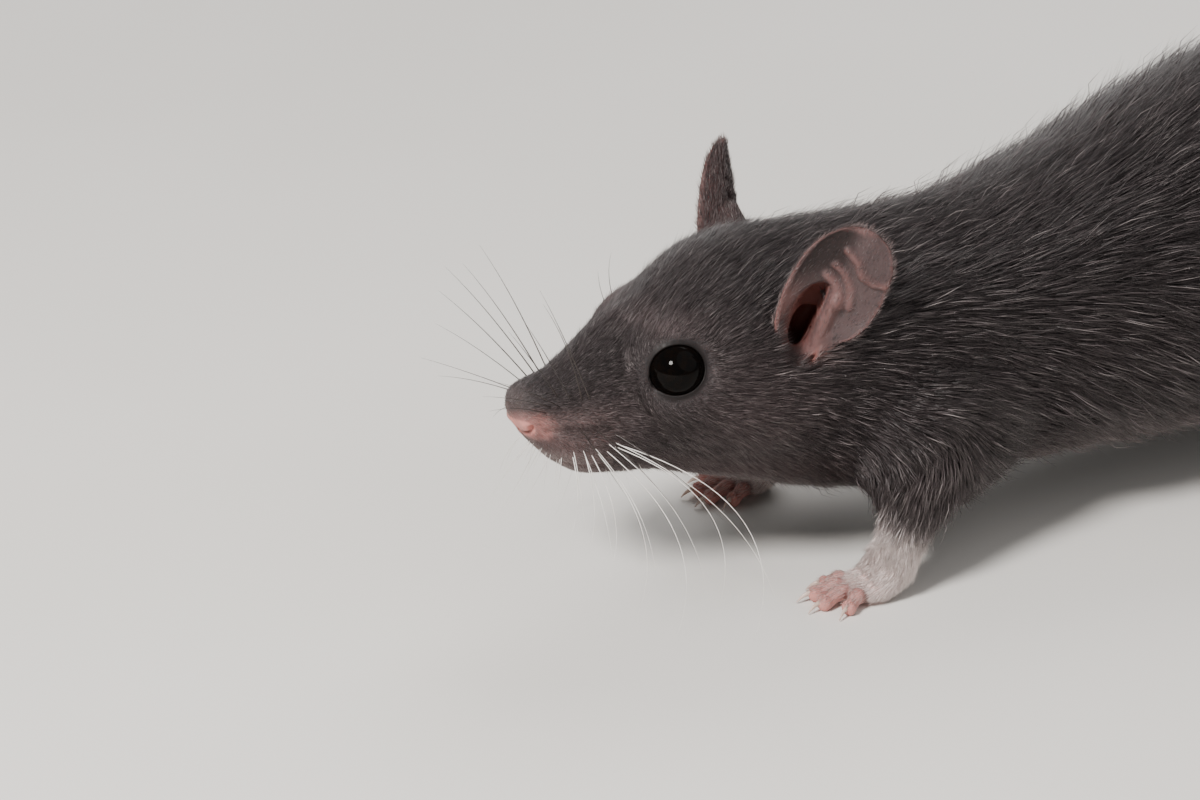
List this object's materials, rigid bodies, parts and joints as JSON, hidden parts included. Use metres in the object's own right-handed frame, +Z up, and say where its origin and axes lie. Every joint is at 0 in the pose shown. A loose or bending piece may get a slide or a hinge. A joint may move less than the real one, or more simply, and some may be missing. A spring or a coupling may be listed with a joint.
{
  "type": "young grey rat",
  "caption": "Life-size still model of a young grey rat creeping forward on four feet, head turned and ears up, with a long tail laid on the floor.",
  "frame": {"origin": "middle of the bounding box at the floor, under the body", "axes": "+Z up, -Y the way the rat faces, +X its left side; soles and tail rest on Z = 0"},
  "size_m": [0.052, 0.2516, 0.0448],
  "materials": {
    "grey_coat": "short soft grey fur, matt with fine pale hairs",
    "face_coat": "very short grey fur, paler and pinker on the cheek and muzzle",
    "ear_skin": "thin bare pink-brown skin, soft sheen",
    "black_eye": "wet gloss black",
    "foot_skin": "pink skin under fine white hair, pale horn claws",
    "tail_skin": "ringed scaly skin, grey-pink, matt"
  },
  "bodies": {
    "root": {"head": "face_coat", "neck": "grey_coat", "trunk": "grey_coat", "ear_left": "ear_skin", "ear_right": "ear_skin", "eye_left": "black_eye", "eye_right": "black_eye", "foreleg_left": "grey_coat", "foreleg_right": "grey_coat", "forefoot_left": "foot_skin", "forefoot_right": "foot_skin", "hindleg_left": "grey_coat", "hindleg_right": "grey_coat", "hindfoot_left": "foot_skin", "hindfoot_right": "foot_skin", "tail_base": "tail_skin", "tail_middle": "tail_skin", "tail_end": "tail_skin"}
  },
  "joints": []
}
